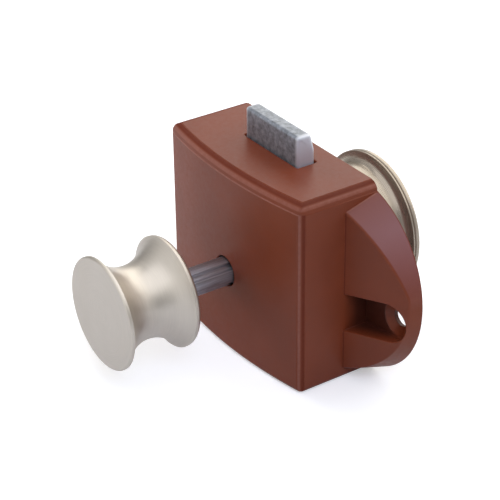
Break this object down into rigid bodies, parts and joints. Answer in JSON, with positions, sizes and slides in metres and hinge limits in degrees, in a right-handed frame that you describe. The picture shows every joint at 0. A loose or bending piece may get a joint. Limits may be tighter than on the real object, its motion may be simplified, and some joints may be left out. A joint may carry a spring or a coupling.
{
  "type": "bathroom door lock",
  "caption": "Push lock for a bathroom door: moulded case with two screw ears, bolt out of its top, spool knobs on a sliding spindle through the door, and a rosette.",
  "frame": {"origin": "the spindle's axis in the flat back of the case, which seats on the inside of the door", "axes": "+Y through the door to the outer knob, +Z along the bolt out of the case, +X to the right seen from the inner knob"},
  "size_m": [0.0842, 0.0759, 0.0539],
  "materials": {
    "brown_plastic": "semi-gloss moulded, reddish brown",
    "satin_nickel": "satin nickel plating, fine turning marks",
    "bronze_nickel": "warm satin plating",
    "bolt_metal": "grey plated zinc casting",
    "grey_bar": "drawn bar, dull grey",
    "screw_steel": "zinc-plated steel",
    "spring_steel": "spring wire",
    "black_plastic": "matte moulded",
    "slider_plastic": "self-coloured, matte moulded"
  },
  "bodies": {
    "case": {"case_shell": "brown_plastic", "back_plate": "brown_plastic", "plate_screw_1": "screw_steel", "plate_screw_2": "screw_steel", "plate_screw_3": "screw_steel", "plate_screw_4": "screw_steel", "rosette": "bronze_nickel", "front_bush": "black_plastic", "follower_wire": "spring_steel", "main_spring": "spring_steel"},
    "spindle_assembly": {"spindle": "grey_bar", "inner_knob": "satin_nickel", "inner_grub_screw": "screw_steel", "outer_knob": "satin_nickel", "outer_grub_screw": "screw_steel", "cam_slider": "slider_plastic", "left_drive_pin": "screw_steel", "right_drive_pin": "screw_steel", "slider_pin": "screw_steel"},
    "bolt": {"latch_bolt": "bolt_metal"}
  },
  "joints": [
    {"name": "spindle_slide", "type": "slide", "parent": "case", "child": "spindle_assembly", "axis": [0, 1, 0], "range_m": [-0.0008, 0.01], "deforming": ["main_spring", "follower_wire"]},
    {"name": "bolt_slide", "type": "slide", "parent": "case", "child": "bolt", "axis": [0, 0, 1], "range_m": [-0.00702, 0.00058]}
  ],
  "couplings": [
    {"joint": "bolt_slide", "follows": "spindle_slide", "ratio": -0.7}
  ]
}
